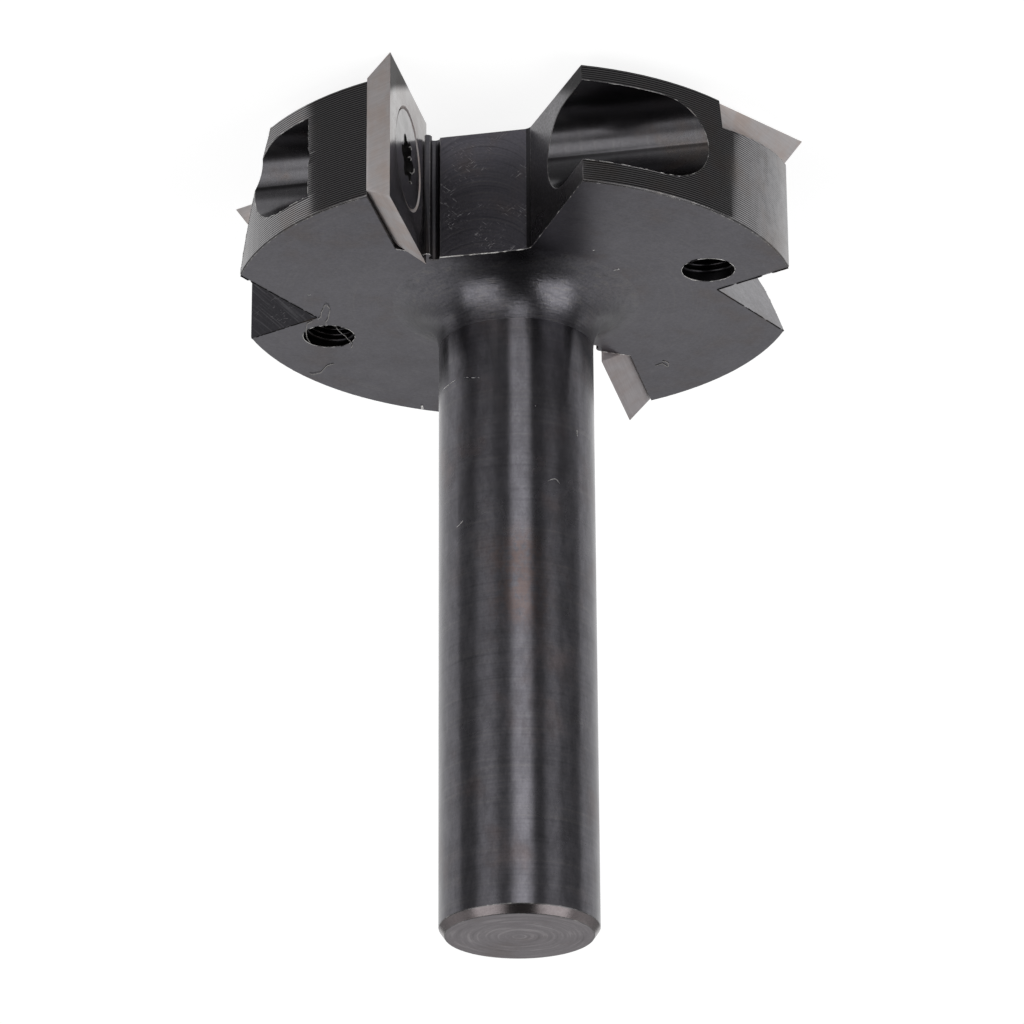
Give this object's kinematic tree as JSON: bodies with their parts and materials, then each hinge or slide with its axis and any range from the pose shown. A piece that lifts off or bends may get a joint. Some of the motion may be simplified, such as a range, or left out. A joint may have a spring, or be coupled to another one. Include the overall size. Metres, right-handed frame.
{
  "type": "surfacing router bit",
  "caption": "Router cutter for flattening wood: a steel shank and disc head with screwed-on square carbide inserts on its rim and face.",
  "frame": {"origin": "on the tool's axis, in the plane of the lowest cutting edges", "axes": "+Z along the shank, from the cutting side to the shank's free end; +X and +Y in the plane of cut, -Y towards the gullet of the first side insert"},
  "size_m": [0.0446, 0.0426, 0.0626],
  "materials": {
    "body_steel": "blackened, turned and milled",
    "carbide": "ground cemented carbide",
    "screw_steel": "plain turned steel"
  },
  "bodies": {
    "root": {"cutter_body": "body_steel", "side_insert_1": "carbide", "side_insert_2": "carbide", "face_insert_1": "carbide", "face_insert_2": "carbide", "side_insert_screw_1": "screw_steel", "side_insert_screw_2": "screw_steel", "face_insert_screw_1": "screw_steel", "face_insert_screw_2": "screw_steel"}
  },
  "joints": []
}
